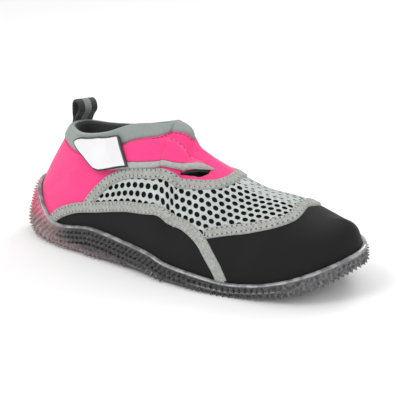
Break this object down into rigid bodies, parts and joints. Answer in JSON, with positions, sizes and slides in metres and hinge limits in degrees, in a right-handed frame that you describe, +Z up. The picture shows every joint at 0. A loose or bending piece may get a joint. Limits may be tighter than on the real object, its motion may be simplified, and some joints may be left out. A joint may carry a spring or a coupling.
{
  "type": "water shoe",
  "caption": "Low slip-on water shoe for a right foot: stretch mesh upper with collar, instep strap and tab, binding tapes, heel pull loop and a moulded cup sole.",
  "frame": {"origin": "middle of the bounding box on the floor, under the arch", "axes": "+X towards the toe, +Y towards the inner side of the foot, +Z up"},
  "size_m": [0.2484, 0.0922, 0.0948],
  "materials": {
    "moulded_sole": "glossy see-through dark grey moulding",
    "insole": "matte knit over foam",
    "stretch_upper": "matte stretch mesh",
    "collar_band": "matte stretch knit",
    "tape": "matte stitched tape",
    "stretch_strap": "matte stretch mesh",
    "tab": "smooth moulded tab",
    "webbing": "ribbed woven webbing"
  },
  "bodies": {
    "root": {"outsole": "moulded_sole", "insole": "insole", "upper": "stretch_upper", "collar": "collar_band", "side_tape_outer": "tape", "side_tape_inner": "tape", "instep_tape": "tape", "toe_tape": "tape", "strap": "stretch_strap", "strap_binding": "tape", "tab": "tab", "pull_loop": "webbing"}
  },
  "joints": []
}
